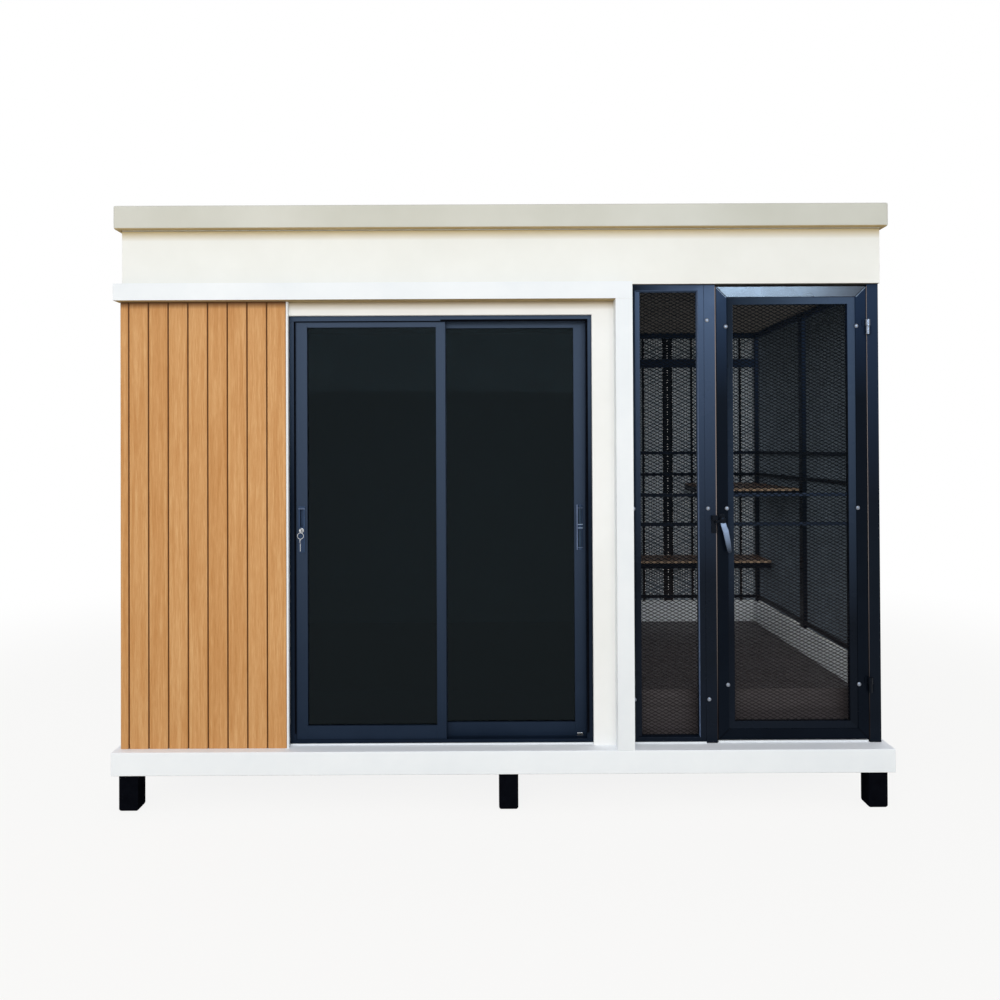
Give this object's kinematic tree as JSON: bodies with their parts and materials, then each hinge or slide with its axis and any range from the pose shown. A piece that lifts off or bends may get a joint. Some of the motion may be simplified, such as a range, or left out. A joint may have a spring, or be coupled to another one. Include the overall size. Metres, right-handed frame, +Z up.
{
  "type": "pet house",
  "caption": "Flat-roofed pet house: a clad room with a sliding glass door beside a mesh run with a hinged mesh door, on a plinth with feet.",
  "frame": {"origin": "on the ground below the middle of the plinth", "axes": "+X to the viewer's right along the front, +Y to the rear, +Z up"},
  "size_m": [3.04, 1.58, 2.364],
  "materials": {
    "white_panel": "painted board, satin",
    "white_trim": "painted trim, satin",
    "fascia_metal": "painted sheet, satin",
    "wood_cladding": "wood-grain planks",
    "floor_brown": "dark floor boards",
    "bare_timber": "sawn timber",
    "shelf_wood": "oiled wood",
    "dark_aluminium": "powder-coated, satin",
    "black_steel": "powder-coated, satin",
    "black_mesh": "coated expanded metal",
    "foot_black": "painted",
    "tinted_glass": "dark tinted",
    "grey_hinge": "plain steel",
    "bright_lock": "nickel plated",
    "black_handle": "gloss",
    "nylon_roller": "nylon"
  },
  "bodies": {
    "house": {"left_wall": "white_panel", "rear_wall": "white_panel", "partition_wall": "white_panel", "upper_panels": "white_panel", "kick_panels": "white_panel", "roof_panel": "white_panel", "plinth": "white_trim", "header_band": "white_trim", "side_band": "white_trim", "front_wall_panels": "white_trim", "run_skirting": "white_trim", "roof_fascia": "fascia_metal", "cladding_planks": "wood_cladding", "floor_deck": "floor_brown", "floor_riser": "floor_brown", "ceiling_panel": "floor_brown", "deck_joists": "bare_timber", "shelf_boards": "shelf_wood", "sliding_frame_head": "dark_aluminium", "sliding_frame_jambs": "dark_aluminium", "sliding_frame_sill": "dark_aluminium", "base_beams": "black_steel", "mullion": "black_steel", "run_posts": "black_steel", "fixed_panel_frame": "black_steel", "run_rails": "black_steel", "shelf_frames": "black_steel", "fixed_panel_mesh": "black_mesh", "run_side_mesh": "black_mesh", "run_rear_mesh": "black_mesh", "feet": "foot_black", "hinge_post_knuckles": "grey_hinge", "frame_screws": "grey_hinge", "handle_keeper": "black_handle"},
    "left_sash": {"left_lock_stile": "dark_aluminium", "left_meeting_stile": "dark_aluminium", "left_sash_rails": "dark_aluminium", "left_glass": "tinted_glass", "lock_escutcheon": "black_handle"},
    "right_sash": {"right_pull_stile": "dark_aluminium", "right_meeting_stile": "dark_aluminium", "right_sash_rails": "dark_aluminium", "right_glass": "tinted_glass", "right_flush_pull": "black_handle"},
    "lock_plug": {"lock_cylinder": "bright_lock", "door_key": "bright_lock"},
    "key_bunch": {"key_ring": "bright_lock", "spare_key": "bright_lock"},
    "mesh_door": {"mesh_door_frame": "black_steel", "mesh_door_mesh": "black_mesh", "mesh_door_bars": "black_steel", "hinge_door_knuckles": "grey_hinge", "handle_base": "black_handle", "door_screws": "grey_hinge"},
    "handle": {"handle_lever": "black_handle"},
    "left_roller_outer": {"left_roller_outer": "nylon_roller"},
    "left_roller_inner": {"left_roller_inner": "nylon_roller"},
    "right_roller_inner": {"right_roller_inner": "nylon_roller"},
    "right_roller_outer": {"right_roller_outer": "nylon_roller"}
  },
  "joints": [
    {"name": "left_slide", "type": "slide", "parent": "house", "child": "left_sash", "axis": [1, 0, 0], "range_m": [0, 0.55]},
    {"name": "right_slide", "type": "slide", "parent": "house", "child": "right_sash", "axis": [1, 0, 0], "range_m": [-0.55, 0]},
    {"name": "key_turn", "type": "hinge", "parent": "left_sash", "child": "lock_plug", "pos_m": [-0.796, -0.712, 1.082], "axis": [0, -1, 0], "range_deg": [0, 90]},
    {"name": "key_bunch_swing", "type": "hinge", "parent": "lock_plug", "child": "key_bunch", "pos_m": [-0.796, -0.7315, 1.077], "axis": [-1, 0, 0], "range_deg": [0, 60]},
    {"name": "mesh_door_swing", "type": "hinge", "parent": "house", "child": "mesh_door", "pos_m": [1.453, -0.722, 0.466], "axis": [0, 0, 1], "range_deg": [0, 170]},
    {"name": "handle_turn", "type": "hinge", "parent": "mesh_door", "child": "handle", "pos_m": [0.873, -0.722, 1.117], "axis": [0, -1, 0], "range_deg": [-20, 65]},
    {"name": "left_roller_outer_spin", "type": "hinge", "parent": "left_sash", "child": "left_roller_outer", "pos_m": [-0.704, -0.692, 0.2613], "axis": [0, 1, 0], "range_deg": [0, 2260]},
    {"name": "left_roller_inner_spin", "type": "hinge", "parent": "left_sash", "child": "left_roller_inner", "pos_m": [-0.331, -0.692, 0.2613], "axis": [0, 1, 0], "range_deg": [0, 2260]},
    {"name": "right_roller_inner_spin", "type": "hinge", "parent": "right_sash", "child": "right_roller_inner", "pos_m": [-0.153, -0.656, 0.2613], "axis": [0, 1, 0], "range_deg": [-2260, 0]},
    {"name": "right_roller_outer_spin", "type": "hinge", "parent": "right_sash", "child": "right_roller_outer", "pos_m": [0.22, -0.656, 0.2613], "axis": [0, 1, 0], "range_deg": [-2260, 0]}
  ],
  "couplings": [
    {"joint": "left_roller_outer_spin", "follows": "left_slide", "rad_per_m": 71.429},
    {"joint": "left_roller_inner_spin", "follows": "left_slide", "rad_per_m": 71.429},
    {"joint": "right_roller_inner_spin", "follows": "right_slide", "rad_per_m": 71.429},
    {"joint": "right_roller_outer_spin", "follows": "right_slide", "rad_per_m": 71.429}
  ]
}
